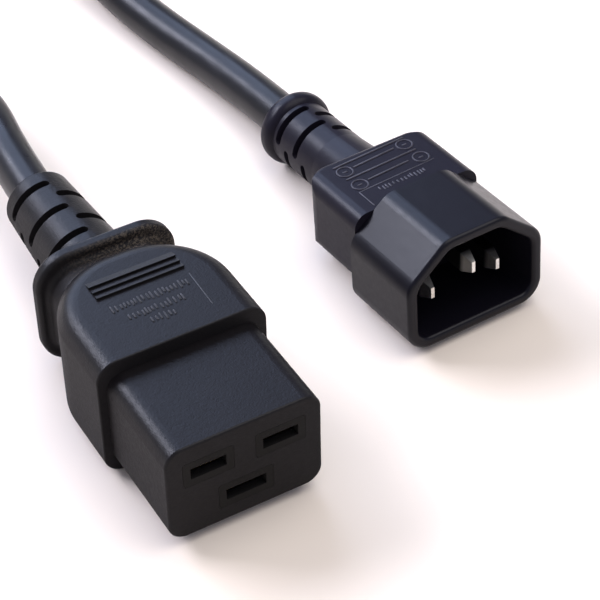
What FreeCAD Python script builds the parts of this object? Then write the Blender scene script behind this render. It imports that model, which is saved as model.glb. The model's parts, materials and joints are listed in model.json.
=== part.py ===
"""Data centre power lead: a moulded C19 connector, its cord and the C14 plug at the far end.

Millimetres, +Z up, everything lies on the plane z = 0.  The C19 connector is the named
object: it rests on its grip, faces -Y, and the origin is the middle of its footprint.
Each function builds one piece, and each piece goes to parts/NAME.step.
"""
import FreeCAD, Part
import math
import os

from FreeCAD import Matrix, Vector

# ---------------------------------------------------------------- cord
CORD_DIAMETER = 8.6            # 3 x 1.5 mm2 flexible cord
CORE_DIAMETER = 2.9            # one insulated core
COPPER_DIAMETER = 1.6          # the stranded conductor inside it
CORE_SPREAD = 1.80             # core axes lie this far from the cord's axis
FIT = 0.05                     # radial gap between pieces moulded or pushed together
MERGE = 1.0                    # forms of one moulding run this far into each other

# ---------------------------------------------------------------- C19: front block
BLOCK_WIDTH = 28.1
BLOCK_HEIGHT = 19.8
BLOCK_LENGTH = 20.4            # from the engagement face to the grip
BLOCK_CORNER = 3.2
BLOCK_UNDERSIDE = 2.0          # above the grip's underside, which is what it rests on
BLOCK_RIM = 0.5

# ---------------------------------------------------------------- C19: contact positions
C19_PITCH = 13.0               # line to neutral
C19_LIVE_Z = 3.8               # line and neutral above the block's middle
C19_EARTH_Z = -4.2             # earth below it
SLOT_HEIGHT = 2.3
LIVE_SLOT_WIDTH = 6.4
EARTH_SLOT_WIDTH = 7.3
SLOT_LAND = 1.6                # front wall of a contact chamber
CHIMNEY_HEIGHT = 5.2
CHIMNEY_BORDER = 1.35          # chamber housing beyond each end of its slot
CHIMNEY_CORNER = 0.6
CHAMBER_WALL = 0.75
CARRIER_PLATE = 4.0
CARRIER_LENGTH = 20.6
CARRIER_WIDTH = 24.4
CARRIER_HEIGHT = 16.2
CARRIER_CORNER = 2.0

# ---------------------------------------------------------------- C19: sheet-metal contacts
SHEET = 0.4
SLEEVE_CORNER = 0.7
CONTACT_GAP = 0.15             # contact to chamber wall
CONTACT_START = 2.0
SLEEVE_LENGTH = 12.0
SPRING_BOW = 0.35              # each leaf bends this far towards the pin
SPRING_WIDTH = 4.2
SPRING_LAND = 0.6              # flat end of a leaf, at each end of the sleeve
CRIMP_LENGTH = 5.0
CRIMP_NECK = 3.0               # from the sleeve to the crimp
CORE_STRAIGHT = 2.0            # insulation runs this far behind a crimp before it bends

# ---------------------------------------------------------------- C19: grip, flange, strain relief
GRIP_WIDTH = 31.2
GRIP_HEIGHT = 24.5
GRIP_END = 46.2                # behind the engagement face
GRIP_SHOULDER = 14.0           # plan radius of the rear shoulders
GRIP_EDGE = 3.8
GRIP_FRONT_EDGE = 0.3
NECK_WIDTH = 22.8
NECK_HEIGHT = 19.4
NECK_CORNER = 6.0
NECK_FILLET = 0.9              # where the neck meets the flange
FLANGE_WIDTH = 26.6
FLANGE_HEIGHT = 23.6
FLANGE_CORNER = 6.6
FLANGE_START = 48.7
FLANGE_THICKNESS = 2.6
FLANGE_EDGE = 0.8
RELIEF_LENGTH = 27.2           # behind the flange
RELIEF_ROOT_RADIUS = 7.9
RELIEF_END_RADIUS = 6.4
RELIEF_END_EDGE = 0.6
RELIEF_FLOOR = 0.6             # material left between a slot and the cord
SLOT_RING_PITCH = 4.05
SLOT_RING_WIDTH = 1.75
SLOT_RINGS_TURNED = (False, True, False, True, False)
SLOT_RING_START = 7.0          # first slot ring behind the flange
SLOT_ARC = 77.0                # degrees between the round ends of each slot
SLOT_TURN = 88.0               # from one ring's slots to the next
FIRST_SLOT_ANGLE = -75.5       # clockwise from the top, seen from the front

# three stepped teeth across the top of the grip
TOOTH_LENGTH = 16.2
TOOTH_PITCH = 1.55
TOOTH_HEIGHT = 0.45
TOOTH_START = 35.0
TOOTH_COUNT = 3

# ---------------------------------------------------------------- C14: shroud and pins
SHROUD_WIDTH = 28.7
SHROUD_HEIGHT = 21.3
SHROUD_LENGTH = 18.1
SHROUD_CHAMFER_X = 8.2
SHROUD_CHAMFER_Z = 6.8
SHROUD_LOWER_CORNER = 4.6
SHROUD_UPPER_CORNER = 4.4
SHROUD_WALL = 2.1
SHROUD_RIM = 0.8
CAVITY_DEPTH = 16.2
C14_PITCH = 14.0
C14_LIVE_Z = 8.6               # line and neutral pins above the shroud's underside
C14_EARTH_Z = 12.6
PIN_THICKNESS = 2.0
PIN_HEIGHT = 4.0
PIN_RECESS = 3.4               # line and neutral tips behind the rim
EARTH_RECESS = 0.9
PIN_TIP = 2.5                  # length of the tapered tip
PIN_TIP_SIDE_INSET = 0.65
PIN_TIP_EDGE_INSET = 0.9       # above and below
PIN_TAIL = 6.0                 # behind the cavity floor
BOSS_WIDTH = 20.0
BOSS_HEIGHT = 9.5
BOSS_LENGTH = 3.0
BOSS_CORNER = 2.0

# ---------------------------------------------------------------- C14: grip and strain relief
PLUG_GRIP_WIDTH = 26.4
PLUG_GRIP_HEIGHT = 15.2
PLUG_GRIP_UNDERSIDE = 3.7
PLUG_GRIP_END = 35.3
PLUG_GRIP_CORNER = 4.5         # plan radius of the rear corners
PLUG_GRIP_EDGE = 2.8            # along the sides
PLUG_GRIP_REAR_EDGE = 1.2
PLUG_AXIS_Z = 10.6
PLUG_RELIEF_ROOT_RADIUS = 7.0
PLUG_RELIEF_RADIUS = 6.4
PLUG_RELIEF_END = 61.5
BEAD_START = 56.8
BEAD_RADIUS = 7.4
BEAD_EDGE = 2.1
PLUG_RING_START = 46.6
PLUG_RING_PITCH = 2.95
PLUG_RING_WIDTH = 1.6
PLUG_RINGS_TURNED = (True, False, True, False)
PLUG_CORE_STRAIGHT = 1.0       # insulation runs this far behind a crimp before it bends

# ---------------------------------------------------------------- where things lie
REST_CLEARANCE = 0.05          # the plug touches the plane at two places, with this to spare
PLUG_X = 56.5                  # foot of the C14 rim's middle
PLUG_BEHIND_FACE = 18.0        # and how far it lies behind the C19's engagement face
PLUG_YAW = 2.5                 # degrees, rear end towards -X
TIE_THICKNESS = 1.0
TIE_WIDTH = 12.0
COIL_COLUMNS = 2
COIL_LAYERS = 3
COIL_MID_RADIUS = 43.5
COIL_CORNER = 4.2              # of the coil's section, just under the cord's own radius
COIL_X = 14.0
COIL_Y = 193.0
COIL_ENTRY_ANGLE = 18.0        # the cord meets the coil this far in front of its widest points
PLUG_SIDE_DROP = 6.0           # degrees by which the plug's end of the cord runs down off the coil

# ---------------------------------------------------------------- derived sizes
CORD_RADIUS = CORD_DIAMETER / 2
CORE_RADIUS = CORE_DIAMETER / 2
COPPER_RADIUS = COPPER_DIAMETER / 2
GRIP_START = BLOCK_LENGTH
C19_AXIS_Z = BLOCK_UNDERSIDE + BLOCK_HEIGHT / 2
FLANGE_END = FLANGE_START + FLANGE_THICKNESS
C19_LENGTH = FLANGE_END + RELIEF_LENGTH
C19_FRONT_Y = -C19_LENGTH / 2
JACKET_START = GRIP_END
SLEEVE_END = CONTACT_START + SLEEVE_LENGTH
CONTACT_END = SLEEVE_END + CRIMP_NECK + CRIMP_LENGTH
CRIMP_RADIUS = COPPER_RADIUS + FIT + SHEET
PLUG_JACKET_START = PLUG_GRIP_END + MERGE
PIN_END = CAVITY_DEPTH + PIN_TAIL
PLUG_CRIMP_END = PIN_END + CRIMP_LENGTH
SLOT_CUT_RADIUS = FLANGE_WIDTH / 2
COIL_OUTER_TURN = COIL_MID_RADIUS + CORD_RADIUS
COIL_BASE = TIE_THICKNESS
COIL_TOP = COIL_BASE + COIL_LAYERS * CORD_DIAMETER
COIL_HALF_WIDTH = COIL_COLUMNS * CORD_RADIUS

# contact places as (name, x, height over the middle line, slot width)
C19_CONTACTS = (
    ("line", C19_PITCH / 2, C19_LIVE_Z, LIVE_SLOT_WIDTH),
    ("neutral", -C19_PITCH / 2, C19_LIVE_Z, LIVE_SLOT_WIDTH),
    ("earth", 0.0, C19_EARTH_Z, EARTH_SLOT_WIDTH),
)
# pin places as (name, x, height over the shroud's underside, tip behind the rim)
C14_PINS = (
    ("line", C14_PITCH / 2, C14_LIVE_Z, PIN_RECESS),
    ("neutral", -C14_PITCH / 2, C14_LIVE_Z, PIN_RECESS),
    ("earth", 0.0, C14_EARTH_Z, EARTH_RECESS),
)
# where each core lies in the cord, as an angle from +X towards +Z
C19_CORE_ANGLES = {"line": 30.0, "neutral": 150.0, "earth": 270.0}
C14_CORE_ANGLES = {"line": 330.0, "neutral": 210.0, "earth": 90.0}


# ---------------------------------------------------------------- general shapes
def box(x_size, y_size, z_size, x_mid, y_start, z_mid):
    corner = Vector(x_mid - x_size / 2, y_start, z_mid - z_size / 2)
    return Part.makeBox(x_size, y_size, z_size, corner)


def cylinder_y(radius, start, end, x=0.0, z=0.0):
    return Part.makeCylinder(radius, end - start, Vector(x, start, z), Vector(0, 1, 0))


def rounded_outline(points, radii):
    """Closed wire through the corner points, each corner rounded by its own radius."""
    count = len(points)
    edges = []
    stops = []
    for i, corner in enumerate(points):
        to_before = (points[i - 1] - corner).normalize()
        to_after = (points[(i + 1) % count] - corner).normalize()
        half = to_before.getAngle(to_after) / 2
        setback = radii[i] / math.tan(half)
        start = corner + to_before * setback
        end = corner + to_after * setback
        middle_way = (to_before + to_after).normalize()
        middle = corner + middle_way * (radii[i] / math.sin(half) - radii[i])
        stops.append((start, middle, end))
    for i, (start, middle, end) in enumerate(stops):
        edges.append(Part.Arc(start, middle, end).toShape())
        following = stops[(i + 1) % count][0]
        if end.distanceToPoint(following) > 1e-6:
            edges.append(Part.LineSegment(end, following).toShape())
    return Part.Wire(edges)


def prism_y(points_xz, radii, start, end):
    points = [Vector(x, start, z) for x, z in points_xz]
    face = Part.Face(rounded_outline(points, radii))
    return face.extrude(Vector(0, end - start, 0))


def rounded_bar(width, height, corner, start, end, x=0.0, z=0.0):
    """Bar along Y with a rounded rectangular section centred on (x, z)."""
    half_w, half_h = width / 2, height / 2
    corners = [(x - half_w, z - half_h), (x + half_w, z - half_h),
               (x + half_w, z + half_h), (x - half_w, z + half_h)]
    return prism_y(corners, [corner] * 4, start, end)


def turned_y(profile, axis_z):
    """Solid turned about the Y line at height axis_z from (y, radius) points."""
    first, last = profile[0][0], profile[-1][0]
    outline = [Vector(0, first, axis_z)]
    outline += [Vector(0, y, axis_z + radius) for y, radius in profile]
    outline += [Vector(0, last, axis_z), Vector(0, first, axis_z)]
    face = Part.Face(Part.makePolygon(outline))
    return face.revolve(Vector(0, 0, axis_z), Vector(0, 1, 0), 360)


def edges_where(shape, test):
    return [edge for edge in shape.Edges if test(edge)]


def edge_in_plane_y(y, tolerance=1e-4):
    def test(edge):
        limits = edge.BoundBox
        return abs(limits.YMin - y) < tolerance and abs(limits.YMax - y) < tolerance
    return test


def tangent_path(start, end, lead_in, lead_out):
    """Wire along +Y from start to end: straight, two equal arcs, straight."""
    bend_start = start + Vector(0, lead_in, 0)
    bend_end = end - Vector(0, lead_out, 0)
    run = bend_end.y - bend_start.y
    side = Vector(bend_end.x - bend_start.x, 0, bend_end.z - bend_start.z)
    shift = side.Length
    side.normalize()
    radius = (run * run + shift * shift) / (4 * shift)
    turn = math.asin(run / (2 * radius))
    forward = Vector(0, 1, 0)

    def offset(angle):
        return forward * (radius * math.sin(angle)) + side * (radius * (1 - math.cos(angle)))

    halfway = bend_start + offset(turn)
    return Part.Wire([
        Part.LineSegment(start, bend_start).toShape(),
        Part.Arc(bend_start, bend_start + offset(turn / 2), halfway).toShape(),
        Part.Arc(halfway, bend_end - offset(turn / 2), bend_end).toShape(),
        Part.LineSegment(bend_end, end).toShape(),
    ])


def swept_round(path, radius):
    """Solid round bar of the given radius along a smooth wire."""
    first = path.OrderedEdges[0]
    start = first.valueAt(first.FirstParameter)
    direction = first.tangentAt(first.FirstParameter)
    if first.Orientation == "Reversed":
        start = first.valueAt(first.LastParameter)
        direction = first.tangentAt(first.LastParameter) * -1
    section = Part.Wire(Part.makeCircle(radius, start, direction))
    return path.makePipeShell([section], True, False)


def slot_rings(axis_z, first_y, pitch, width, turned, floor_radius):
    """Cutters for a strain relief: a pair of opposite, round-ended slots for each entry of turned.

    An entry says whether its pair is turned from the first slot's angle.
    """
    axis_point, axis = Vector(0, 0, axis_z), Vector(0, 1, 0)
    cutters = []
    for ring, is_turned in enumerate(turned):
        y = first_y + ring * pitch
        profile = [Vector(0, y - width / 2, axis_z + floor_radius),
                   Vector(0, y + width / 2, axis_z + floor_radius),
                   Vector(0, y + width / 2, axis_z + SLOT_CUT_RADIUS),
                   Vector(0, y - width / 2, axis_z + SLOT_CUT_RADIUS)]
        face = Part.Face(Part.makePolygon(profile + profile[:1]))
        wedge = face.revolve(axis_point, axis, SLOT_ARC)
        near_end = Part.makeCylinder(width / 2, SLOT_CUT_RADIUS - floor_radius,
                                     Vector(0, y, axis_z + floor_radius), Vector(0, 0, 1))
        far_end = near_end.copy()
        far_end.rotate(axis_point, axis, SLOT_ARC)
        slot = wedge.fuse([near_end, far_end])
        for opposite in (0.0, 180.0):
            cutter = slot.copy()
            cutter.rotate(axis_point, axis, FIRST_SLOT_ANGLE + is_turned * SLOT_TURN + opposite)
            cutters.append(cutter)
    return cutters


def rolled_grip(width, height, underside, start, end, corner, edge):
    """Grip with rolled edges, rear corners rounded in plan and a square-cut front."""
    half = width / 2
    blank_start = start - 3 * edge
    outline = [Vector(-half, blank_start, underside), Vector(half, blank_start, underside),
               Vector(half, end, underside), Vector(-half, end, underside)]
    wire = rounded_outline(outline, [MERGE, MERGE, corner, corner])
    body = Part.Face(wire).extrude(Vector(0, 0, height))

    def rolled(candidate):
        limits = candidate.BoundBox
        return limits.ZLength < 1e-6 and limits.YMax > blank_start + 2 * MERGE

    body = body.makeFillet(edge, edges_where(body, rolled))
    keep = box(2 * width, end, 3 * height, 0.0, start, underside + height / 2)
    return body.common(keep)


# ---------------------------------------------------------------- cores shared by both ends
def core_end(angle, y, axis_z):
    spread = math.radians(angle)
    return Vector(CORE_SPREAD * math.cos(spread), y, axis_z + CORE_SPREAD * math.sin(spread))


def core_path(x, z, start, straight_to, jacket_start, end, angle, axis_z):
    """Centre line of a core from its contact at (x, z) to its place in the cord."""
    return tangent_path(Vector(x, start, z), core_end(angle, end, axis_z),
                        straight_to - start, end - jacket_start)


def insulation(path_outer, path_inner):
    return swept_round(path_outer, CORE_RADIUS).cut(swept_round(path_inner, COPPER_RADIUS + FIT))


def jacket_end(start, end, axis_z, angles):
    """End of the cord's jacket, moulded in, with the three cores coming out of it."""
    jacket = cylinder_y(CORD_RADIUS, start, end, 0.0, axis_z)
    for angle in angles.values():
        middle = core_end(angle, start, axis_z)
        jacket = jacket.cut(cylinder_y(CORE_RADIUS + FIT, start, end, middle.x, middle.z))
    return jacket


# ---------------------------------------------------------------- C19 pieces
def chimney(x, z, slot_width, grow=0.0):
    width = slot_width + 2 * CHIMNEY_BORDER + 2 * grow
    height = CHIMNEY_HEIGHT + 2 * grow
    return rounded_bar(width, height, CHIMNEY_CORNER, 0, CARRIER_LENGTH, x, C19_AXIS_Z + z)


def carrier_outside(grow=0.0):
    """Outer form of the contact carrier: three chimneys on a rear plate."""
    plate_start = CARRIER_LENGTH - CARRIER_PLATE
    width, height = CARRIER_WIDTH + 2 * grow, CARRIER_HEIGHT + 2 * grow
    plate = rounded_bar(width, height, CARRIER_CORNER, plate_start - grow, CARRIER_LENGTH + grow,
                        0.0, C19_AXIS_Z)
    return plate.fuse([chimney(x, z, width, grow) for _, x, z, width in C19_CONTACTS])


def contact_carrier():
    carrier = carrier_outside()
    for _, x, z, width in C19_CONTACTS:
        middle_z = C19_AXIS_Z + z
        slot = box(width, CARRIER_LENGTH, SLOT_HEIGHT, x, -MERGE, middle_z)
        chamber = box(chamber_width(width), CARRIER_LENGTH, chamber_height(), x, SLOT_LAND, middle_z)
        carrier = carrier.cut([slot, chamber])
    return carrier


def chamber_width(slot_width):
    return slot_width + 2 * CHIMNEY_BORDER - 2 * CHAMBER_WALL


def chamber_height():
    return CHIMNEY_HEIGHT - 2 * CHAMBER_WALL


def sheet_strip(profile_yz, x, width):
    """Strip of sheet metal with the given side profile, centred on x."""
    points = [Vector(x - width / 2, y, z) for y, z in profile_yz]
    return Part.Face(Part.makePolygon(points + points[:1])).extrude(Vector(width, 0, 0))


def contact_leaf(x, middle_z, wall, side):
    """Leaf bowed towards the pin from one broad wall of the sleeve.  side: +1 upper, -1 lower."""
    start, end = CONTACT_START + SPRING_LAND, SLEEVE_END - SPRING_LAND
    middle = (start + end) / 2
    section = [(start, wall), (middle, wall - SPRING_BOW - SHEET), (end, wall),
               (end, wall + SHEET / 2), (middle, wall - SPRING_BOW), (start, wall + SHEET / 2)]
    return sheet_strip([(y, middle_z + side * z) for y, z in section], x, SPRING_WIDTH)


def contact_neck(x, middle_z, half_height):
    """Strip that joins the sleeve's floor to the crimp."""
    crimp_start = SLEEVE_END + CRIMP_NECK
    underside = [(SLEEVE_END - MERGE, -half_height), (SLEEVE_END, -half_height),
                 (crimp_start, -CRIMP_RADIUS), (crimp_start + MERGE, -CRIMP_RADIUS)]
    upper = [(y, z + SHEET) for y, z in reversed(underside)]
    profile = [(y, middle_z + z) for y, z in underside + upper]
    return sheet_strip(profile, x, COPPER_DIAMETER)


def female_contact(x, z, slot_width):
    """Box contact folded from sheet, with two bowed leaves, a neck and a crimp."""
    middle_z = C19_AXIS_Z + z
    width = chamber_width(slot_width) - 2 * CONTACT_GAP
    height = chamber_height() - 2 * CONTACT_GAP
    sleeve = rounded_bar(width, height, SLEEVE_CORNER, CONTACT_START, SLEEVE_END, x, middle_z)
    inside = rounded_bar(width - 2 * SHEET, height - 2 * SHEET, SLEEVE_CORNER - SHEET,
                         CONTACT_START - MERGE, SLEEVE_END + MERGE, x, middle_z)
    contact = sleeve.cut(inside)
    leaves = [contact_leaf(x, middle_z, height / 2 - SHEET, side) for side in (1, -1)]
    crimp_start = SLEEVE_END + CRIMP_NECK
    crimp = cylinder_y(CRIMP_RADIUS, crimp_start, CONTACT_END, x, middle_z)
    bore = cylinder_y(COPPER_RADIUS + FIT, crimp_start - MERGE, CONTACT_END + MERGE, x, middle_z)
    return contact.fuse(leaves + [contact_neck(x, middle_z, height / 2), crimp]).cut(bore)


def c19_core_paths(name, x, z):
    """Centre lines of one core's copper and of its insulation."""
    middle_z = C19_AXIS_Z + z
    copper_start = CONTACT_END - CRIMP_LENGTH

    def path(start):
        return core_path(x, middle_z, start, CONTACT_END + CORE_STRAIGHT, JACKET_START,
                         C19_LENGTH, C19_CORE_ANGLES[name], C19_AXIS_Z)

    return path(copper_start), path(CONTACT_END + FIT)


def c19_grip():
    grip = rolled_grip(GRIP_WIDTH, GRIP_HEIGHT, 0.0, GRIP_START, GRIP_END, GRIP_SHOULDER, GRIP_EDGE)
    return grip.makeFillet(GRIP_FRONT_EDGE, edges_where(grip, edge_in_plane_y(GRIP_START)))


def grip_teeth():
    """Stepped teeth: each rises towards the front and drops square."""
    teeth = []
    for i in range(TOOTH_COUNT):
        front = TOOTH_START + i * TOOTH_PITCH
        back = front + TOOTH_PITCH
        section = [(front, GRIP_HEIGHT - MERGE), (front, GRIP_HEIGHT + TOOTH_HEIGHT),
                   (back, GRIP_HEIGHT), (back, GRIP_HEIGHT - MERGE)]
        teeth.append(sheet_strip(section, 0.0, TOOTH_LENGTH))
    return teeth


def c19_flange():
    """Flange with the neck that joins it to the grip."""
    flange = rounded_bar(FLANGE_WIDTH, FLANGE_HEIGHT, FLANGE_CORNER, FLANGE_START, FLANGE_END,
                         0.0, C19_AXIS_Z)
    rims = edges_where(flange, lambda edge: edge.BoundBox.YLength < 1e-6)
    flange = flange.makeFillet(FLANGE_EDGE, rims)
    neck = rounded_bar(NECK_WIDTH, NECK_HEIGHT, NECK_CORNER, GRIP_END - 2 * MERGE, FLANGE_START + MERGE,
                       0.0, C19_AXIS_Z)
    flange = flange.fuse(neck)

    def seam(edge):
        limits = edge.BoundBox
        return (edge_in_plane_y(FLANGE_START)(edge) and limits.XMax < NECK_WIDTH / 2 + FIT
                and limits.ZMax < C19_AXIS_Z + NECK_HEIGHT / 2 + FIT
                and limits.ZMin > C19_AXIS_Z - NECK_HEIGHT / 2 - FIT)

    return flange.makeFillet(NECK_FILLET, edges_where(flange, seam))


def c19_relief():
    """Tapered sleeve behind the flange, before its slots are cut."""
    relief = turned_y([(FLANGE_START + MERGE, RELIEF_ROOT_RADIUS), (FLANGE_END, RELIEF_ROOT_RADIUS),
                       (C19_LENGTH, RELIEF_END_RADIUS)], C19_AXIS_Z)
    return relief.makeFillet(RELIEF_END_EDGE, edges_where(relief, edge_in_plane_y(C19_LENGTH)))


def c19_inside():
    """Everything that the overmould is moulded round."""
    bore = cylinder_y(CORD_RADIUS + FIT, JACKET_START, C19_LENGTH + MERGE, 0.0, C19_AXIS_Z)
    inside = [carrier_outside(FIT), bore]
    for name, x, z, _ in C19_CONTACTS:
        _, cover = c19_core_paths(name, x, z)
        inside.append(cylinder_y(CRIMP_RADIUS + FIT, CARRIER_LENGTH, CONTACT_END + FIT, x, C19_AXIS_Z + z))
        inside.append(swept_round(cover, CORE_RADIUS + FIT))
    return inside


def c19_overmould():
    block = rounded_bar(BLOCK_WIDTH, BLOCK_HEIGHT, BLOCK_CORNER, 0, GRIP_START + MERGE, 0.0, C19_AXIS_Z)
    block = block.makeFillet(BLOCK_RIM, edges_where(block, edge_in_plane_y(0)))
    body = block.fuse([c19_grip(), c19_flange(), c19_relief()] + grip_teeth())
    rings = slot_rings(C19_AXIS_Z, FLANGE_END + SLOT_RING_START, SLOT_RING_PITCH, SLOT_RING_WIDTH,
                       SLOT_RINGS_TURNED, CORD_RADIUS + RELIEF_FLOOR)
    return body.cut(rings).cut(c19_inside())


# ---------------------------------------------------------------- C14 pieces, in the plug's own frame
def shroud_bar(inset, start, end):
    """D-shaped bar: a rectangle with two upper corners cut off, inset all round."""
    half = SHROUD_WIDTH / 2 - inset
    top = SHROUD_HEIGHT - inset
    slant = math.hypot(SHROUD_CHAMFER_X, SHROUD_CHAMFER_Z)
    cut_x = SHROUD_CHAMFER_X - inset * (SHROUD_CHAMFER_X + SHROUD_CHAMFER_Z - slant) / SHROUD_CHAMFER_Z
    cut_z = cut_x * SHROUD_CHAMFER_Z / SHROUD_CHAMFER_X
    points = [(-half, inset), (half, inset), (half, top - cut_z),
              (half - cut_x, top), (-half + cut_x, top), (-half, top - cut_z)]
    lower = SHROUD_LOWER_CORNER - inset
    upper = SHROUD_UPPER_CORNER - inset / 2
    return prism_y(points, [lower, lower, upper, upper, upper, upper], start, end)


def pin_bar(x, z, recess, grow=0.0):
    """Flat pin with a tapered tip, from its tip to its tail."""
    root = recess + PIN_TIP
    height, thickness = PIN_HEIGHT + 2 * grow, PIN_THICKNESS + 2 * grow
    shank = box(thickness, PIN_END - root, height, x, root, z)
    sections = []
    for y, inset_x, inset_z in ((recess, PIN_TIP_SIDE_INSET, PIN_TIP_EDGE_INSET), (root, 0.0, 0.0)):
        half_x, half_z = thickness / 2 - inset_x, height / 2 - inset_z
        ring = [Vector(x - half_x, y, z - half_z), Vector(x + half_x, y, z - half_z),
                Vector(x + half_x, y, z + half_z), Vector(x - half_x, y, z + half_z)]
        sections.append(Part.makePolygon(ring + ring[:1]))
    return shank.fuse(Part.makeLoft(sections, True, True)).removeSplitter()


def boss(grow=0.0):
    """Rear boss of the shroud, which the overmould grips."""
    middle_z = (C14_LIVE_Z + C14_EARTH_Z) / 2
    return rounded_bar(BOSS_WIDTH + 2 * grow, BOSS_HEIGHT + 2 * grow, BOSS_CORNER,
                       SHROUD_LENGTH - MERGE / 2, SHROUD_LENGTH + BOSS_LENGTH + grow, 0.0, middle_z)


def plug_shroud():
    shroud = shroud_bar(0.0, 0, SHROUD_LENGTH)
    cavity = shroud_bar(SHROUD_WALL, -MERGE, CAVITY_DEPTH)
    shroud = shroud.cut(cavity)
    shroud = shroud.makeFillet(SHROUD_RIM, edges_where(shroud, edge_in_plane_y(0)))
    shroud = shroud.fuse(boss())
    return shroud.cut([pin_bar(x, z, recess, FIT) for _, x, z, recess in C14_PINS])


def plug_pin(x, z, recess):
    """Pin with its crimp for the conductor."""
    crimp = cylinder_y(CRIMP_RADIUS, PIN_END - MERGE, PLUG_CRIMP_END, x, z)
    bore = cylinder_y(COPPER_RADIUS + FIT, PIN_END, PLUG_CRIMP_END + MERGE, x, z)
    return pin_bar(x, z, recess).fuse(crimp).cut(bore)


def c14_core_paths(name, x, z):
    """Centre lines of one core's copper and of its insulation."""
    def path(start):
        return core_path(x, z, start, PLUG_CRIMP_END + PLUG_CORE_STRAIGHT, PLUG_JACKET_START,
                         PLUG_RELIEF_END, C14_CORE_ANGLES[name], PLUG_AXIS_Z)

    return path(PIN_END + FIT), path(PLUG_CRIMP_END + FIT)


def plug_grip():
    """Grip with broad rolls along its sides and a tighter edge round the rear."""
    grip = rolled_grip(PLUG_GRIP_WIDTH, PLUG_GRIP_HEIGHT, PLUG_GRIP_UNDERSIDE, SHROUD_LENGTH,
                       PLUG_GRIP_END, PLUG_GRIP_CORNER, PLUG_GRIP_REAR_EDGE)
    section = rounded_bar(PLUG_GRIP_WIDTH, PLUG_GRIP_HEIGHT, PLUG_GRIP_EDGE, SHROUD_LENGTH - MERGE,
                          PLUG_GRIP_END + MERGE, 0.0, PLUG_GRIP_UNDERSIDE + PLUG_GRIP_HEIGHT / 2)
    return grip.common(section)


def plug_relief():
    """Tapered sleeve with a bead at its end, before its slots are cut."""
    relief = turned_y([(PLUG_GRIP_END - 2 * MERGE, PLUG_RELIEF_ROOT_RADIUS),
                       (PLUG_GRIP_END, PLUG_RELIEF_ROOT_RADIUS),
                       (PLUG_RING_START - PLUG_RING_PITCH, PLUG_RELIEF_RADIUS),
                       (BEAD_START + MERGE, PLUG_RELIEF_RADIUS)], PLUG_AXIS_Z)
    bead = turned_y([(BEAD_START, BEAD_RADIUS), (PLUG_RELIEF_END, BEAD_RADIUS)], PLUG_AXIS_Z)
    bead = bead.makeFillet(BEAD_EDGE, edges_where(bead, lambda edge: edge.BoundBox.YLength < 1e-6))
    return relief.fuse(bead)


def plug_inside():
    """Everything that the plug's overmould is moulded round."""
    bore = cylinder_y(CORD_RADIUS + FIT, PLUG_JACKET_START, PLUG_RELIEF_END + MERGE, 0.0, PLUG_AXIS_Z)
    inside = [boss(FIT), bore]
    for name, x, z, recess in C14_PINS:
        _, cover = c14_core_paths(name, x, z)
        inside.append(pin_bar(x, z, recess, FIT))
        inside.append(cylinder_y(CRIMP_RADIUS + FIT, PIN_END - MERGE - FIT, PLUG_CRIMP_END + FIT, x, z))
        inside.append(swept_round(cover, CORE_RADIUS + FIT))
    return inside


def plug_overmould():
    rings = slot_rings(PLUG_AXIS_Z, PLUG_RING_START, PLUG_RING_PITCH, PLUG_RING_WIDTH,
                       PLUG_RINGS_TURNED, CORD_RADIUS + RELIEF_FLOOR)
    return plug_grip().fuse(plug_relief()).cut(rings).cut(plug_inside())


def plug_placement():
    """The plug leans back from the shroud's lower rear edge onto its end bead, then is yawed."""
    drop = PLUG_AXIS_Z - BEAD_RADIUS - REST_CLEARANCE
    reach = (BEAD_START + PLUG_RELIEF_END) / 2 - SHROUD_LENGTH
    place = Matrix()
    place.move(Vector(0, -SHROUD_LENGTH, 0))
    place.rotateX(-math.atan(drop / reach))
    place.move(Vector(0, SHROUD_LENGTH, REST_CLEARANCE))
    place.rotateZ(math.radians(PLUG_YAW))
    place.move(Vector(PLUG_X, C19_FRONT_Y + PLUG_BEHIND_FACE, 0))
    return place


# ---------------------------------------------------------------- cord
def coil_tail(side):
    """Where the cord meets the coil, and where its straight tail ends.  side: -1 C19, +1 plug."""
    entry = math.radians(COIL_ENTRY_ANGLE)
    layer = 0 if side < 0 else 1
    height = COIL_BASE + CORD_RADIUS + layer * CORD_DIAMETER
    meet = Vector(COIL_X + side * COIL_OUTER_TURN * math.cos(entry),
                  COIL_Y - COIL_OUTER_TURN * math.sin(entry), height)
    # the tail is straight until it is a diameter off the coil
    length = math.sqrt((COIL_OUTER_TURN + CORD_DIAMETER) ** 2 - COIL_OUTER_TURN ** 2)
    drop = layer * length * math.tan(math.radians(PLUG_SIDE_DROP))
    away = Vector(-side * math.sin(entry) * length, -math.cos(entry) * length, -drop)
    return meet, meet + away


def coil_section(grow):
    """Section of the whole winding, larger by grow all round."""
    inner = COIL_X + COIL_MID_RADIUS - COIL_HALF_WIDTH - grow
    outer = COIL_X + COIL_MID_RADIUS + COIL_HALF_WIDTH + grow
    low, high = COIL_BASE - grow, COIL_TOP + grow
    corners = [Vector(inner, COIL_Y, low), Vector(outer, COIL_Y, low),
               Vector(outer, COIL_Y, high), Vector(inner, COIL_Y, high)]
    return Part.Face(rounded_outline(corners, [COIL_CORNER + grow] * 4))


def cord_coil():
    """Outer form of the tied coil, with the two ends of the cord leaving it."""
    ring = coil_section(0.0).revolve(Vector(COIL_X, COIL_Y, 0), Vector(0, 0, 1), 360)
    for side in (-1, 1):
        meet, far = coil_tail(side)
        along = far - meet
        ring = ring.fuse(Part.makeCylinder(CORD_RADIUS, along.Length, meet, along))
    return ring


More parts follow.
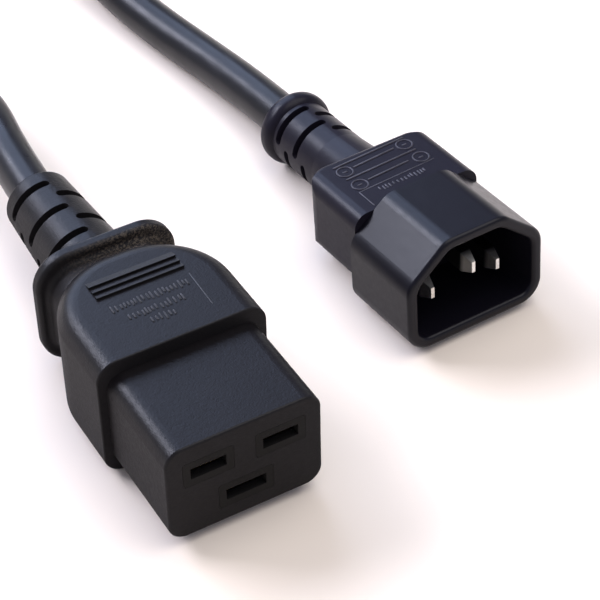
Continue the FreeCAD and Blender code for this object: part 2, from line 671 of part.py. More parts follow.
def cord_tie():
    """Strap round the coil at its far side."""
    middle = Vector(COIL_X, COIL_Y, 0)
    upwards = Vector(0, 0, 1)
    span = math.degrees(TIE_WIDTH / COIL_MID_RADIUS)
    strap = coil_section(TIE_THICKNESS).cut(coil_section(0.0)).revolve(middle, upwards, span)
    strap.rotate(middle, upwards, 90.0 - span / 2)
    return strap


def route_wire(points, name):
    """Straight runs joined by tangent arcs as large as the runs allow."""
    edges = []
    at = points[0]
    radii = []
    for before, corner, after in zip(points, points[1:], points[2:]):
        back = before - corner
        on = after - corner
        shorter = min(back.Length, on.Length)
        back.normalize()
        on.normalize()
        turn = math.pi - back.getAngle(on)
        setback = 0.45 * shorter
        radius = setback / math.tan(turn / 2)
        start = corner + back * setback
        end = corner + on * setback
        inward = (back + on).normalize()
        middle = corner + inward * (radius / math.cos(turn / 2) - radius)
        edges.append(Part.LineSegment(at, start).toShape())
        edges.append(Part.Arc(start, middle, end).toShape())
        radii.append(radius)
        at = end
    edges.append(Part.LineSegment(at, points[-1]).toShape())
    path = Part.Wire(edges)
    print(name, "length %.1f" % path.Length, "radii", " ".join("%.0f" % radius for radius in radii))
    return path


def cord_tube(points, name):
    path = route_wire(points, name)
    tube = swept_round(path, CORD_RADIUS)
    expected = math.pi * CORD_RADIUS ** 2 * path.Length
    print(name, "volume %.0f" % tube.Volume, "of %.0f" % expected)
    return tube


def connector_route():
    """Out of the C19's strain relief, down to the surface and left to the coil."""
    exit_y = C19_FRONT_Y + C19_LENGTH
    meet, tail = coil_tail(-1)
    return [
        Vector(0.0, exit_y, C19_AXIS_Z),
        Vector(0.0, exit_y + 15.0, C19_AXIS_Z),
        Vector(1.4, 70.2, 9.8),
        Vector(0.6, 86.2, 6.8),
        Vector(-3.3, 101.7, 4.9),
        Vector(-10.3, 116.6, 4.4),
        before_tail(meet, tail, 14.0),
        tail,
    ]


def plug_route(place):
    """Out of the plug's strain relief and along the surface to the coil."""
    meet, tail = coil_tail(1)
    return [
        place.multiply(Vector(0, PLUG_RELIEF_END, PLUG_AXIS_Z)),
        place.multiply(Vector(0, PLUG_RELIEF_END + 14.0, PLUG_AXIS_Z)),
        Vector(51.4, 71.5, 4.8),
        Vector(48.7, 87.5, 4.4),
        Vector(46.4, 103.5, 5.1),
        Vector(45.2, 119.5, 7.1),
        before_tail(meet, tail, 13.0),
        tail,
    ]


def before_tail(meet, tail, distance):
    """Point in line with the coil's straight tail, so that the tube meets it square."""
    away = tail - meet
    away.normalize()
    return tail + away * distance


# ---------------------------------------------------------------- build and write
def c19_pieces():
    pieces = {"c19_overmould": c19_overmould(), "c19_contact_carrier": contact_carrier()}
    for name, x, z, width in C19_CONTACTS:
        copper, cover = c19_core_paths(name, x, z)
        pieces["c19_%s_contact" % name] = female_contact(x, z, width)
        pieces["c19_%s_conductor" % name] = swept_round(copper, COPPER_RADIUS)
        pieces["c19_%s_insulation" % name] = insulation(cover, copper)
    pieces["c19_jacket_end"] = jacket_end(JACKET_START, C19_LENGTH, C19_AXIS_Z, C19_CORE_ANGLES)
    forward = Vector(0, C19_FRONT_Y, 0)
    return {name: shape.translated(forward) for name, shape in pieces.items()}


def c14_pieces(place):
    pieces = {"c14_shroud": plug_shroud(), "c14_overmould": plug_overmould()}
    for name, x, z, recess in C14_PINS:
        copper, cover = c14_core_paths(name, x, z)
        pieces["c14_%s_pin" % name] = plug_pin(x, z, recess)
        pieces["c14_%s_conductor" % name] = swept_round(copper, COPPER_RADIUS)
        pieces["c14_%s_insulation" % name] = insulation(cover, copper)
    pieces["c14_jacket_end"] = jacket_end(PLUG_JACKET_START, PLUG_RELIEF_END, PLUG_AXIS_Z, C14_CORE_ANGLES)
    return {name: shape.transformed(place) for name, shape in pieces.items()}


def cord_pieces(place):
    return {
        "cord_tube_connector_side": cord_tube(connector_route(), "connector side"),
        "cord_tube_plug_side": cord_tube(plug_route(place), "plug side"),
        "cord_coil": cord_coil(),
        "cord_tie": cord_tie(),
    }


def write(name, shape):
    solids = shape.Solids
    print("%-28s solids %d valid %s volume %.1f" % (name, len(solids), shape.isValid(), shape.Volume))
    if len(solids) == 1:
        shape = solids[0]
    shape.exportStep("parts/%s.step" % name)


def main():
    place = plug_placement()
    os.makedirs("parts", exist_ok=True)
    for pieces in (c19_pieces(), c14_pieces(place), cord_pieces(place)):
        for name, shape in pieces.items():
            write(name, shape)


main()
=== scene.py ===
"""The looks of the data centre power lead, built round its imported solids.

Metres, +Z up.  The C19 connector rests at the origin and faces -Y.  The C14 plug lies to its
right, and the cord joins them through a tied coil, beyond the top of the picture.  The object's
sizes are written in millimetres and turned into metres with MM.
"""

import json
import math
import random

import bmesh
import bpy
from mathutils import Matrix, Quaternion, Vector


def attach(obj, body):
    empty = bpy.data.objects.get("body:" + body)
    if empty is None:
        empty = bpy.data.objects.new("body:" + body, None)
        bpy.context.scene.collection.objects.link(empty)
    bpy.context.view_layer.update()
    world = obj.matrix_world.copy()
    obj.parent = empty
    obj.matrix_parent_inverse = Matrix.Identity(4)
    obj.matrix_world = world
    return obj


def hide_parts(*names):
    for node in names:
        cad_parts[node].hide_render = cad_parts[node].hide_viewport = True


MM = 0.001

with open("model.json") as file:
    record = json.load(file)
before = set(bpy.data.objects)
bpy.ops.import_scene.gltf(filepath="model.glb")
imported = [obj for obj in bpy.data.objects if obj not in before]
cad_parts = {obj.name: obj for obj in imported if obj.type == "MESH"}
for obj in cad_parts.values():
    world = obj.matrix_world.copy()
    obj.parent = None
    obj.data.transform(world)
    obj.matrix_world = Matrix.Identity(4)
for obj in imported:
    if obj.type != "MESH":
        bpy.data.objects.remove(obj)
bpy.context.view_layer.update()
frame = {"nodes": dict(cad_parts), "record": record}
nodes = frame["nodes"]
mounts = {mount["name"]: mount for mount in frame["record"]["mounts"]}

# ---------------------------------------------------------------- sizes, in millimetres
CORD_DIAMETER = 8.6
CORD_RADIUS = CORD_DIAMETER / 2

CONNECTOR_TOP = 24.5           # upper face of the connector's grip
CONNECTOR_EXIT = (0.0, 39.25, 11.9)   # where the cord leaves the connector's relief
NECK_Y = (5.6, 10.6)           # the neck and a little beyond it, along the part's Y
NECK_DUST_X = (-10.0, 4.0)     # the neck's dust thickens from the first to the second

# the plug's own frame stands on its underside, with the mouth at y = 0
PLUG_MOUTH_Z = 10.65           # middle of the mouth
PLUG_TOP = 18.9                # upper face of the grip
PLUG_LENGTH = 61.5
PLUG_AXIS_Z = 10.6             # the cord's axis
PLUG_STRAIGHT = 14.0           # the cord leaves the relief straight for this far
PIN_TIPS = {"line": -17.1, "neutral": -17.1, "earth": -19.5}    # along the part's Y
PIN_PAINTED_SHADE = (1.9, 3.0)        # painted shade: behind its tip a pin's colour turns from bright to dark between these, for the hood's shade

# the coil, as the solids have it
COIL_X, COIL_Y = 14.0, 193.0
COIL_MID_RADIUS = 43.5         # between the inner and the outer turns
COIL_OUTER = COIL_MID_RADIUS + CORD_RADIUS
COIL_INNER = COIL_MID_RADIUS - CORD_RADIUS
COIL_BASE = 1.0                # underside of the lowest turns
COIL_ENTRY = math.radians(18.0)       # the cord meets the coil this far in front of its sides
PLUG_SIDE_DROP = math.radians(6.0)    # slope of the plug side's tail
COIL_TURNING = 2016.0          # degrees from where the cord joins the coil to where it leaves
COIL_STEP = 15.0               # degrees between the coil's control points
COIL_CHANGE = 76.0             # degrees that a change of place in the winding takes
# (degrees turned, radius, layer) at the middle of each change
COIL_PLACES = ((330.0, COIL_INNER, 0), (672.0, COIL_INNER, 1), (1014.0, COIL_INNER, 2),
               (1356.0, COIL_OUTER, 2), (1698.0, COIL_OUTER, 1))

# the cord's way from each end to the coil
CONNECTOR_RUN = ((0.6, 54.25, 12.2), (3.3, 70.2, 11.3), (2.9, 86.2, 8.2), (-1.7, 101.7, 5.4),
                 (-9.4, 116.6, 4.4))
PLUG_RUN = ((51.4, 71.5, 4.8), (48.7, 87.5, 4.4), (46.4, 103.5, 5.1), (45.2, 119.5, 7.4))
CONNECTOR_BEFORE_TAIL = 14.0   # a last point, this far from the coil's straight tail
PLUG_BEFORE_TAIL = 13.0
PLUG_LIFTS = (1.0, 2.0)        # that point and the tail's end stay clear of the turn below

# raised marks
MARK_ROOT = 0.15               # a mark reaches this far into the face that it stands on
RIDGE_STEPS = 4                # facets on each side of a ridge's back
STROKE_WIDTH = 0.35
STROKE_SPACING = (0.55, 0.95)
STROKE_REACH = (0.3, 1.0)      # share of half the tallest stroke, up and down

# (first x, last x, y) of each row of strokes on the connector
CONNECTOR_ROWS = ((-7.0, 7.1, 31.6), (-5.3, 5.0, 28.6), (-2.4, 2.4, 26.1))
# (x, y) of the ends of the plug's bars, and the middles of its rings
PLUG_BARS = (((-7.9, 32.9), (7.6, 33.6)), ((-4.7, 31.1), (4.3, 31.7)),
             ((-7.9, 28.5), (7.4, 29.1)), ((-4.6, 26.3), (4.2, 26.8)))
PLUG_RINGS = ((-6.8, 30.8), (6.7, 31.6), (-6.8, 25.9), (6.9, 26.5))
RING_DASH = 0.35               # half the length of the dash in a ring

# ---------------------------------------------------------------- looks
NOISE_LOW, NOISE_HIGH = 0.30, 0.70    # most of a noise texture's values lie between these
SHEEN_DOWN, SHEEN_UP = 0.03, 0.04     # a moulding's roughness varies by this
MOTTLE_SIZE, MOTTLE = 9.0, 0.10       # millimetres, and the share that its tone varies by
FLOW_SIZE, FLOW_DEPTH = 16.0, 0.012   # its flow marks, in millimetres
COARSE_GRAIN = 2.2                    # a coarse grain is larger than the fine one by this
COARSE_SHARE, FINE_SHARE = 0.6, 0.8   # of the grain's depth
GRIT_COLOUR = (0.12, 0.095, 0.07)
GRIT_SIZE = 0.45                      # millimetres
NECK_ROUGHNESS = 0.62
UPRIGHT, LEVEL = 0.15, 0.75           # a face's upward share, where it counts as each

# ---------------------------------------------------------------- stage, in metres
FLOOR_SIZE = 6.0
FLOOR_COLOUR = (1.0, 0.88, 0.75)
SWEEP = (0.30, 0.75)           # the floor turns to even white between these, from the origin
# (upward share of a direction, colour)
SKY = ((0.00, (1.00, 1.00, 1.00)), (0.12, (1.00, 1.00, 1.00)), (0.24, (0.30, 0.31, 0.38)),
       (0.50, (0.26, 0.28, 0.40)), (1.00, (0.36, 0.38, 0.48)))
LAMP_TARGET = (0.03, 0.0, 0.01)

CAMERA_PLACE = (-106.43, -249.00, 259.53)    # millimetres, as is the target
CAMERA_TARGET = (33.80, 2.39, 0.0)
CAMERA_ROLL = math.radians(-1.32)
CAMERA_LENS, CAMERA_SENSOR = 128.4, 36.0


# ---------------------------------------------------------------- node helpers
def new_material(name):
    material = bpy.data.materials.new(name)
    material.use_nodes = True
    tree = material.node_tree
    shader = tree.nodes["Principled BSDF"]
    return material, tree, shader


def object_coordinates(tree, scale=(1.0, 1.0, 1.0)):
    coordinates = tree.nodes.new("ShaderNodeTexCoord")
    mapping = tree.nodes.new("ShaderNodeMapping")
    mapping.inputs["Scale"].default_value = scale
    tree.links.new(coordinates.outputs["Object"], mapping.inputs["Vector"])
    return mapping.outputs["Vector"]


def component(tree, vector, axis):
    split = tree.nodes.new("ShaderNodeSeparateXYZ")
    tree.links.new(vector, split.inputs["Vector"])
    return split.outputs[axis]


def noise(tree, vector, grain_mm, detail=3.0, roughness=0.55):
    texture = tree.nodes.new("ShaderNodeTexNoise")
    texture.inputs["Scale"].default_value = 1.0 / (grain_mm * MM)
    texture.inputs["Detail"].default_value = detail
    texture.inputs["Roughness"].default_value = roughness
    tree.links.new(vector, texture.inputs["Vector"])
    return texture.outputs["Fac"]


def ramp(tree, fac, stops):
    node = tree.nodes.new("ShaderNodeValToRGB")
    elements = node.color_ramp.elements
    while len(elements) < len(stops):
        elements.new(0.5)
    for element, (position, colour) in zip(elements, stops):
        element.position = position
        element.color = (*colour, 1.0)
    tree.links.new(fac, node.inputs["Fac"])
    return node.outputs["Color"]


def shade(colour, factor):
    return tuple(channel * factor for channel in colour)


def grey(level):
    return (level, level, level)


def tones(tree, fac, colour, darkest, palest):
    """The colour, darker and paler by two factors as a noise has it."""
    return ramp(tree, fac, [(NOISE_LOW, shade(colour, darkest)),
                            (NOISE_HIGH, shade(colour, palest))])


def map_range(tree, value, from_low, from_high, low=0.0, high=1.0):
    node = tree.nodes.new("ShaderNodeMapRange")
    node.inputs["From Min"].default_value = from_low
    node.inputs["From Max"].default_value = from_high
    node.inputs["To Min"].default_value = low
    node.inputs["To Max"].default_value = high
    tree.links.new(value, node.inputs["Value"])
    return node.outputs["Result"]


def spread(tree, fac, low, high):
    """A noise, spread from low to high."""
    return map_range(tree, fac, NOISE_LOW, NOISE_HIGH, low, high)


def multiply(tree, first, second):
    node = tree.nodes.new("ShaderNodeMath")
    node.operation = "MULTIPLY"
    tree.links.new(first, node.inputs[0])
    tree.links.new(second, node.inputs[1])
    return node.outputs["Value"]


def mix(tree, factor, first, second, data_type="FLOAT"):
    """Between a socket and a second one, or a socket and a constant."""
    node = tree.nodes.new("ShaderNodeMix")
    node.data_type = data_type
    tree.links.new(factor, node.inputs["Factor"])
    tree.links.new(first, node.inputs["A"])
    if isinstance(second, bpy.types.NodeSocket):
        tree.links.new(second, node.inputs["B"])
    else:
        node.inputs["B"].default_value = second
    return node.outputs["Result"]


def facing_up(tree):
    """0 on upright faces, 1 on level ones, and between the two on rolled edges."""
    geometry = tree.nodes.new("ShaderNodeNewGeometry")
    upward = component(tree, geometry.outputs["True Normal"], "Z")
    return map_range(tree, upward, UPRIGHT, LEVEL)


def bump(tree, heights):
    """Chain of bumps from (height socket, depth in millimetres) pairs."""
    normal = None
    for height, depth in heights:
        node = tree.nodes.new("ShaderNodeBump")
        node.inputs["Strength"].default_value = 1.0
        node.inputs["Distance"].default_value = depth * MM
        tree.links.new(height, node.inputs["Height"])
        if normal is not None:
            tree.links.new(normal, node.inputs["Normal"])
        normal = node.outputs["Normal"]
    return normal


# ---------------------------------------------------------------- materials
def moulded_plastic(name, colour, roughness, grain, depth, specular, side_roughness=None):
    """Moulded plastic with slow changes of tone, faint flow marks and a fine eroded grain.

    Grain is the size of its texture and depth its relief, in millimetres; at a depth of 0 the
    relief is left out.  Upright faces, which hands rub less, may be duller than the rest.
    """
    material, tree, shader = new_material(name)
    vector = object_coordinates(tree)
    slow = noise(tree, vector, MOTTLE_SIZE, detail=2.0)
    tree.links.new(tones(tree, slow, colour, 1 - MOTTLE, 1 + MOTTLE), shader.inputs["Base Color"])
    fine = noise(tree, vector, grain, detail=4.0)
    coarse = noise(tree, vector, COARSE_GRAIN * grain)
    sheen = spread(tree, coarse, roughness - SHEEN_DOWN, roughness + SHEEN_UP)
    if side_roughness is not None:
        dull = spread(tree, coarse, side_roughness - SHEEN_DOWN, side_roughness + SHEEN_UP)
        sheen = mix(tree, facing_up(tree), dull, sheen)
    tree.links.new(sheen, shader.inputs["Roughness"])
    layers = [(noise(tree, vector, FLOW_SIZE, detail=1.0), FLOW_DEPTH)]
    if depth > 0:
        layers += [(coarse, depth * COARSE_SHARE), (fine, depth * FINE_SHARE)]
    tree.links.new(bump(tree, layers), shader.inputs["Normal"])
    shader.inputs["Specular IOR Level"].default_value = specular
    return material


def dust_in_neck(material):
    """Dulls the mould along the connector's neck, with pale grit that thickens to its right."""
    tree = material.node_tree
    shader = tree.nodes["Principled BSDF"]
    tone = shader.inputs["Base Color"].links[0].from_socket
    sheen = shader.inputs["Roughness"].links[0].from_socket
    vector = object_coordinates(tree)
    y_from, y_to = NECK_Y
    x_from, x_to = NECK_DUST_X
    along = map_range(tree, component(tree, vector, "Y"), y_from * MM, y_to * MM)
    band = ramp(tree, along, [(0.0, grey(0)), (0.2, grey(1)), (0.8, grey(1)), (1.0, grey(0))])
    drift = map_range(tree, component(tree, vector, "X"), x_from * MM, x_to * MM)
    specks = noise(tree, vector, GRIT_SIZE, roughness=0.8)
    grit = ramp(tree, specks, [(0.46, grey(0)), (0.62, grey(0.8))])
    cover = multiply(tree, multiply(tree, band, drift), grit)
    dusty = mix(tree, cover, tone, (*GRIT_COLOUR, 1), data_type="RGBA")
    tree.links.new(dusty, shader.inputs["Base Color"])
    tree.links.new(mix(tree, band, sheen, NECK_ROUGHNESS), shader.inputs["Roughness"])


def cord_jacket(name, colour):
    """Extruded jacket: satin, with the faint swell of the cores inside it."""
    material, tree, shader = new_material(name)
    vector = object_coordinates(tree)
    slow = noise(tree, vector, 22.0, detail=2.0)
    tree.links.new(tones(tree, slow, colour, 0.85, 1.15), shader.inputs["Base Color"])
    patches = noise(tree, vector, 5.0)
    tree.links.new(spread(tree, patches, 0.27, 0.36), shader.inputs["Roughness"])
    swell = noise(tree, vector, 7.0, detail=1.0)
    fine = noise(tree, vector, 0.35)
    tree.links.new(bump(tree, [(swell, 0.12), (fine, 0.008)]), shader.inputs["Normal"])
    shader.inputs["Specular IOR Level"].default_value = 0.22
    return material


def pin_metal_painted_shade(name, tip_y):
    """Plated pin, bright at its tip, with painted shade: its colour turns dark further into the
    hood, where the hood shades it.
    """
    material, tree, shader = new_material(name)
    place = component(tree, object_coordinates(tree), "Y")
    start, end = PIN_PAINTED_SHADE
    # painted shade: the pin's colour darkens behind its tip, for the hood's shadow; its roughness
    # follows the same mask
    shade_mask = map_range(tree, place, (tip_y + start) * MM, (tip_y + end) * MM)
    tone = ramp(tree, shade_mask, [(0.0, (0.85, 0.83, 0.80)), (1.0, grey(0.10))])
    tree.links.new(tone, shader.inputs["Base Color"])
    sheen = ramp(tree, shade_mask, [(0.0, grey(0.33)), (1.0, grey(0.34))])
    tree.links.new(sheen, shader.inputs["Roughness"])
    shader.inputs["Metallic"].default_value = 1.0
    return material


def drawn_metal(name, colour, roughness):
    """Metal with faint lines along its length (Y)."""
    material, tree, shader = new_material(name)
    stretched = object_coordinates(tree, scale=(1.0, 0.06, 1.0))
    lines = noise(tree, stretched, 0.50, detail=1.0)
    tree.links.new(tones(tree, lines, colour, 0.92, 1.0), shader.inputs["Base Color"])
    shader.inputs["Roughness"].default_value = roughness
    shader.inputs["Metallic"].default_value = 1.0
    return material


def strap_fabric(name, colour):
    """Hook-and-loop strap with a low pile."""
    material, tree, shader = new_material(name)
    pile = noise(tree, object_coordinates(tree), 0.45, detail=5.0, roughness=0.7)
    tone = ramp(tree, pile, [(0.35, shade(colour, 0.5)), (0.65, shade(colour, 1.6))])
    tree.links.new(tone, shader.inputs["Base Color"])
    tree.links.new(bump(tree, [(pile, 0.25)]), shader.inputs["Normal"])
    shader.inputs["Roughness"].default_value = 0.9
    shader.inputs["Sheen Weight"].default_value = 0.3
    return material


def ridges_painted_highlight(name, colour):
    """The mould's plastic on raised marks, with painted highlight: paler than the mould, for the
    light that the ridges catch, and it reflects more.
    """
    material, tree, shader = new_material(name)
    patchy_highlight = noise(tree, object_coordinates(tree), 1.2, detail=2.0)
    tree.links.new(tones(tree, patchy_highlight, colour, 0.6, 1.3), shader.inputs["Base Color"])
    shader.inputs["Roughness"].default_value = 0.40
    shader.inputs["Specular IOR Level"].default_value = 0.45
    return material


def core_plastic(name, colour):
    return moulded_plastic(name, colour, roughness=0.42, grain=0.5, depth=0.006, specular=0.5)


def dress_solids():
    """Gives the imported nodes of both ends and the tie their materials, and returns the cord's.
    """
    connector = moulded_plastic("connector_mould", (0.0080, 0.0068, 0.0076), roughness=0.33,
                                grain=0.34, depth=0.052, specular=0.175, side_roughness=0.66)
    dust_in_neck(connector)
    carrier = moulded_plastic("contact_carrier", (0.0120, 0.0112, 0.0108), roughness=0.50,
                              grain=0.30, depth=0.010, specular=0.06)
    plug = moulded_plastic("plug_mould", (0.0100, 0.0084, 0.0146), roughness=0.32,
                           grain=0.45, depth=0.008, specular=0.15, side_roughness=0.48)
    shroud = moulded_plastic("plug_shroud", (0.0056, 0.0050, 0.0086), roughness=0.31,
                             grain=0.50, depth=0.0, specular=0.20, side_roughness=0.42)
    jacket = cord_jacket("cord_jacket", (0.0115, 0.0115, 0.0140))
    contact = drawn_metal("contact_metal", (0.55, 0.48, 0.34), roughness=0.36)
    copper = drawn_metal("copper", (0.80, 0.42, 0.25), roughness=0.35)
    cores = {
        "line": core_plastic("core_brown", (0.16, 0.07, 0.03)),
        "neutral": core_plastic("core_blue", (0.04, 0.12, 0.45)),
        "earth": core_plastic("core_green", (0.15, 0.42, 0.06)),
    }
    by_node = {
        "c19_overmould": connector, "c19_contact_carrier": carrier,
        "c14_overmould": plug, "c14_shroud": shroud,
        "c19_jacket_end": jacket, "c14_jacket_end": jacket,
        "cord_tie": strap_fabric("tie_strap", (0.012, 0.012, 0.013)),
    }
    for name, core in cores.items():
        by_node["c19_%s_contact" % name] = contact
        by_node["c14_%s_pin" % name] = pin_metal_painted_shade("%s_pin" % name, PIN_TIPS[name])
        for end in ("c19", "c14"):
            by_node["%s_%s_conductor" % (end, name)] = copper
            by_node["%s_%s_insulation" % (end, name)] = core
    for name, material in by_node.items():
        slots = nodes[name].data.materials
        slots.clear()
        slots.append(material)
    return jacket


# ---------------------------------------------------------------- the cord
def coil_tail(side):
    """Where the cord meets the coil, and where its straight tail ends.  side: -1 C19, +1 plug."""
    layer = 0 if side < 0 else 1
    meet = Vector((COIL_X + side * COIL_OUTER * math.cos(COIL_ENTRY),
                   COIL_Y - COIL_OUTER * math.sin(COIL_ENTRY),
                   COIL_BASE + CORD_RADIUS + layer * CORD_DIAMETER))
    length = math.sqrt((COIL_OUTER + CORD_DIAMETER) ** 2 - COIL_OUTER ** 2)
    away = Vector((-side * math.sin(COIL_ENTRY), -math.cos(COIL_ENTRY),
                   -layer * math.tan(PLUG_SIDE_DROP))) * length
    return meet, meet + away


def before_tail(meet, tail, distance):
    return tail + (tail - meet).normalized() * distance


def coil_place(turned):
    """Radius and height of the winding after that many degrees."""
    radius, layer = COIL_OUTER, 0.0
    for middle, next_radius, next_layer in COIL_PLACES:
        part = min(max((turned - middle) / COIL_CHANGE + 0.5, 0.0), 1.0)
        part = part * part * (3 - 2 * part)
        radius += (next_radius - radius) * part
        layer += (next_layer - layer) * part
    return radius, COIL_BASE + CORD_RADIUS + layer * CORD_DIAMETER


def coil_turns():
    """Control points of the turns, clockwise seen from above."""
    # a quadratic spline runs inside its control polygon, which is larger by this factor
    outside = 1.0 / (0.75 + 0.25 * math.cos(math.radians(COIL_STEP)))
    points = []
    steps = round(COIL_TURNING / COIL_STEP)
    for i in range(steps + 1):
        turned = i * COIL_TURNING / steps
        radius, height = coil_place(turned)
        angle = math.pi + COIL_ENTRY - math.radians(turned)
        points.append(Vector((COIL_X + radius * outside * math.cos(angle),
                              COIL_Y + radius * outside * math.sin(angle), height)))
    return points


def connector_route():
    """From the connector's strain relief to the coil."""
    meet, tail = coil_tail(-1)
    points = [Vector(point) for point in (CONNECTOR_EXIT, *CONNECTOR_RUN)]
    return points + [before_tail(meet, tail, CONNECTOR_BEFORE_TAIL), tail]


def plug_route(plug):
    """From the plug's strain relief to the coil."""
    meet, tail = coil_tail(1)
    points = [plug @ Vector((0, PLUG_LENGTH + ahead, PLUG_AXIS_Z))
              for ahead in (0.0, PLUG_STRAIGHT)]
    points += [Vector(point) for point in PLUG_RUN]
    last = (before_tail(meet, tail, PLUG_BEFORE_TAIL), tail)
    return points + [point + Vector((0, 0, lift)) for point, lift in zip(last, PLUG_LIFTS)]


def make_cord(plug, material):
    route = connector_route() + coil_turns() + plug_route(plug)[::-1]
    curve = bpy.data.curves.new("power_cord", "CURVE")
    curve.dimensions = "3D"
    curve.bevel_depth = CORD_RADIUS * MM
    curve.bevel_resolution = 7
    curve.resolution_u = 5
    curve.use_fill_caps = True
    spline = curve.splines.new("NURBS")
    spline.points.add(len(route) - 1)
    for point, place in zip(spline.points, route):
        point.co = (*(place * MM), 1.0)
    spline.order_u = 3             # quadratic
    spline.use_endpoint_u = True
    cord = bpy.data.objects.new("power_cord", curve)
    bpy.context.scene.collection.objects.link(cord)
    curve.materials.append(material)
    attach(cord, "root")
    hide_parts("cord_coil", "cord_tube_connector_side", "cord_tube_plug_side")


# ---------------------------------------------------------------- frames of the two ends
def plug_frame():
    """Matrix, in millimetres, from the plug's own frame to the part's."""
    mount = mounts["c13_outlet"]
    along = -Vector(mount["axis"]).normalized()
    across = along.cross(Vector((0, 0, 1))).normalized()
    upward = across.cross(along)
    turn = Matrix((across, along, upward)).transposed().to_4x4()
    mouth = Vector(mount["pos_m"]) / MM
    return Matrix.Translation(mouth) @ turn @ Matrix.Translation((0, 0, -PLUG_MOUTH_Z))


def connector_frame():
    """Matrix, in millimetres, from the connector's own frame, whose face is at y = 0."""
    face = Vector(mounts["engagement_face"]["pos_m"]) / MM
    return Matrix.Translation((0, face.y, 0))


# ---------------------------------------------------------------- raised marks
def capsule_outline(start, end, half_width, steps=6):
    """Corner points of a bar with round ends, in the plane."""
    along = (end - start).normalized()
    side = Vector((-along.y, along.x))
    points = []
    for centre, first in ((start, 90.0), (end, -90.0)):
        for i in range(steps + 1):
            angle = math.radians(first + 180.0 * i / steps)
            points.append(centre + (along * math.cos(angle) + side * math.sin(angle)) * half_width)
    return points


def ring_outline(centre, radius, steps=40):
    return [centre + Vector((math.cos(a), math.sin(a))) * radius
            for a in (2 * math.pi * i / steps for i in range(steps))]


def add_loop(mesh, points, z):
    return [mesh.verts.new((point.x, point.y, z)) for point in points]


def bridge(mesh, lower, upper):
    count = len(lower)
    for i in range(count):
        j = (i + 1) % count
        mesh.faces.new((lower[i], lower[j], upper[j], upper[i]))


def ridge_profile(width, height):
    """(inset, height) of a ridge's half section: upright at the foot, then round."""
    half = width / 2
    profile = [(0.0, -MARK_ROOT)]
    for i in range(RIDGE_STEPS):
        angle = math.pi / 2 * i / RIDGE_STEPS
        profile.append((half * (1 - math.cos(angle)), height * math.sin(angle)))
    return profile


def add_bar(mesh, start, end, width, height, z):
    """Raised bar with a round back, from start to end on the face at height z."""
    start, end = Vector(start), Vector(end)
    loops = [add_loop(mesh, capsule_outline(start, end, width / 2 - inset), z + rise)
             for inset, rise in ridge_profile(width, height)]
    for lower, upper in zip(loops, loops[1:]):
        bridge(mesh, lower, upper)
    mesh.faces.new(loops[0][::-1])
    mesh.faces.new(loops[-1])


def add_ring(mesh, centre, radius, width, height, z):
    """Raised ring with a round back, radius to the middle of its line."""
    centre = Vector(centre)
    half = ridge_profile(width, height)
    profile = [(inset - width / 2, rise) for inset, rise in half]
    profile += [(width / 2 - inset, rise) for inset, rise in half[::-1]]
    loops = [add_loop(mesh, ring_outline(centre, radius + dr), z + dz) for dr, dz in profile]
    for lower, upper in zip(loops, loops[1:] + loops[:1]):
        bridge(mesh, lower, upper)


def add_stroke_row(mesh, state, x_start, x_end, y, tallest, height, z):
    """Row of small upright strokes, uneven in reach and spacing: a mark that says nothing."""
    x = x_start
    while x < x_end:
        low = y - tallest / 2 * state.uniform(*STROKE_REACH)
        high = y + tallest / 2 * state.uniform(*STROKE_REACH)
        add_bar(mesh, (x, low), (x, high), STROKE_WIDTH, height, z)
        x += state.uniform(*STROKE_SPACING)


def finish_marks(mesh, name, place, material):
    bmesh.ops.recalc_face_normals(mesh, faces=mesh.faces)
    data = bpy.data.meshes.new(name)
    mesh.to_mesh(data)
    mesh.free()
    data.transform(Matrix.Scale(MM, 4) @ place)
    data.shade_smooth()
    data.materials.append(material)
    piece = bpy.data.objects.new(name, data)
    bpy.context.scene.collection.objects.link(piece)
    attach(piece, "root")


def connector_marks(place, material):
    """Rows of strokes and a hairline on the grip, where the real one has its moulded text."""
    mesh = bmesh.new()
    state = random.Random(19)
    for x_start, x_end, y in CONNECTOR_ROWS:
        add_stroke_row(mesh, state, x_start, x_end, y, tallest=1.8, height=0.20, z=CONNECTOR_TOP)
    add_bar(mesh, (8.1, 33.2), (7.9, 24.6), width=0.22, height=0.07, z=CONNECTOR_TOP)
    finish_marks(mesh, "connector_marks", place, material)


def plug_marks(place, material):
    """Bars with a dashed ring at alternate ends, and two hairlines round a row of strokes."""
    mesh = bmesh.new()
    for start, end in PLUG_BARS:
        add_bar(mesh, start, end, width=0.42, height=0.22, z=PLUG_TOP)
    for x, y in PLUG_RINGS:
        add_ring(mesh, (x, y), radius=1.5, width=0.34, height=0.18, z=PLUG_TOP)
        add_bar(mesh, (x - RING_DASH, y), (x + RING_DASH, y), width=0.34, height=0.12, z=PLUG_TOP)
    corner = (-8.2, 24.0)
    for end in ((8.4, 24.7), (-8.2, 19.2)):
        add_bar(mesh, corner, end, width=0.24, height=0.08, z=PLUG_TOP)
    state = random.Random(14)
    add_stroke_row(mesh, state, -4.6, 5.4, 22.8, tallest=1.2, height=0.10, z=PLUG_TOP)
    finish_marks(mesh, "plug_marks", place, material)


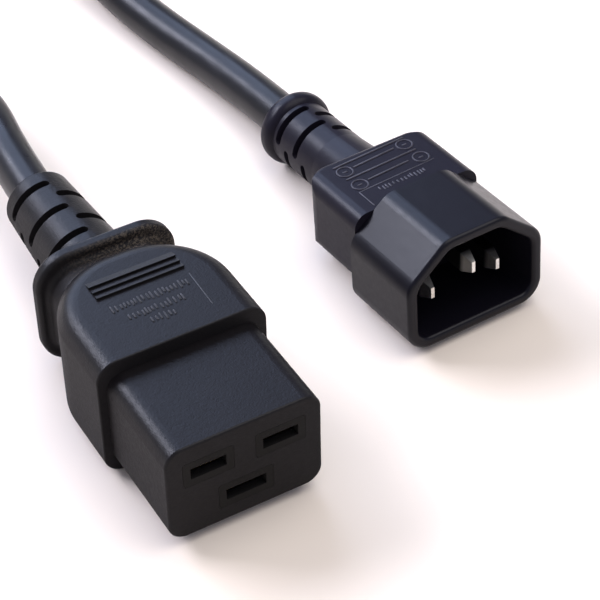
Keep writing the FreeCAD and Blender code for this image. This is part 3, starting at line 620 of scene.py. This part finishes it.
# ---------------------------------------------------------------- stage, light and camera
def make_floor():
    """Warm white floor.  Its far part glows at white, as a studio's sweep does."""
    bpy.ops.mesh.primitive_plane_add(size=FLOOR_SIZE, location=(0, 0, 0))
    floor = bpy.context.object
    floor.name = "floor"
    material, tree, shader = new_material("floor")
    shader.inputs["Base Color"].default_value = (*FLOOR_COLOUR, 1)
    shader.inputs["Roughness"].default_value = 0.9
    shader.inputs["Specular IOR Level"].default_value = 0.0
    distance = tree.nodes.new("ShaderNodeVectorMath")
    distance.operation = "LENGTH"
    tree.links.new(object_coordinates(tree), distance.inputs[0])
    sweep = tree.nodes.new("ShaderNodeEmission")
    both = tree.nodes.new("ShaderNodeMixShader")
    tree.links.new(map_range(tree, distance.outputs["Value"], *SWEEP), both.inputs["Fac"])
    tree.links.new(shader.outputs["BSDF"], both.inputs[1])
    tree.links.new(sweep.outputs["Emission"], both.inputs[2])
    tree.links.new(both.outputs["Shader"], tree.nodes["Material Output"].inputs["Surface"])
    floor.data.materials.append(material)


def make_world():
    """White up to a little above the horizon, then a dim bluish room."""
    world = bpy.data.worlds.new("studio")
    bpy.context.scene.world = world
    world.use_nodes = True
    tree = world.node_tree
    background = tree.nodes["Background"]
    direction = tree.nodes.new("ShaderNodeTexCoord").outputs["Generated"]
    sky = ramp(tree, component(tree, direction, "Z"), SKY)
    tree.links.new(sky, background.inputs["Color"])
    background.inputs["Strength"].default_value = 1.0


def turned_towards(place, target):
    return (Vector(target) - Vector(place)).to_track_quat("-Z", "Y")


def softbox(name, place, size, power, colour):
    light = bpy.data.lights.new(name, "AREA")
    light.shape = "RECTANGLE"
    light.size, light.size_y = size
    light.energy = power
    light.color = colour
    lamp = bpy.data.objects.new(name, light)
    lamp.location = place
    lamp.rotation_mode = "QUATERNION"
    lamp.rotation_quaternion = turned_towards(place, LAMP_TARGET)
    bpy.context.scene.collection.objects.link(lamp)


def make_lights():
    softbox("left_back", (-0.37, 0.53, 0.54), size=(0.46, 0.24), power=6.4,
            colour=(0.82, 0.84, 1.0))
    softbox("back", (0.06, 0.72, 0.54), size=(0.60, 0.70), power=5.2, colour=(0.56, 0.69, 1.0))
    softbox("top", (0.30, -0.15, 0.85), size=(0.80, 0.80), power=4.8, colour=(1.0, 0.97, 0.93))


def make_camera():
    camera = bpy.data.cameras.new("camera")
    camera.lens = CAMERA_LENS
    camera.sensor_width = CAMERA_SENSOR
    camera.clip_start, camera.clip_end = 0.01, 20.0
    holder = bpy.data.objects.new("camera", camera)
    place = Vector(CAMERA_PLACE) * MM
    turn = turned_towards(place, Vector(CAMERA_TARGET) * MM)
    holder.location = place
    holder.rotation_mode = "QUATERNION"
    holder.rotation_quaternion = turn @ Quaternion((0, 0, 1), CAMERA_ROLL)
    bpy.context.scene.collection.objects.link(holder)
    bpy.context.scene.camera = holder


# ---------------------------------------------------------------- build
def main():
    plug = plug_frame()
    make_camera()
    jacket = dress_solids()
    make_cord(plug, jacket)
    # the marks' colours are paler than the moulds beneath: painted highlight for the light that
    # the ridges catch
    connector_marks(connector_frame(), ridges_painted_highlight("connector_marks", (0.019, 0.018, 0.021)))
    plug_marks(plug, ridges_painted_highlight("plug_marks", (0.036, 0.032, 0.044)))
    make_floor()
    make_world()
    make_lights()
    bpy.context.scene.view_settings.view_transform = "Standard"


main()
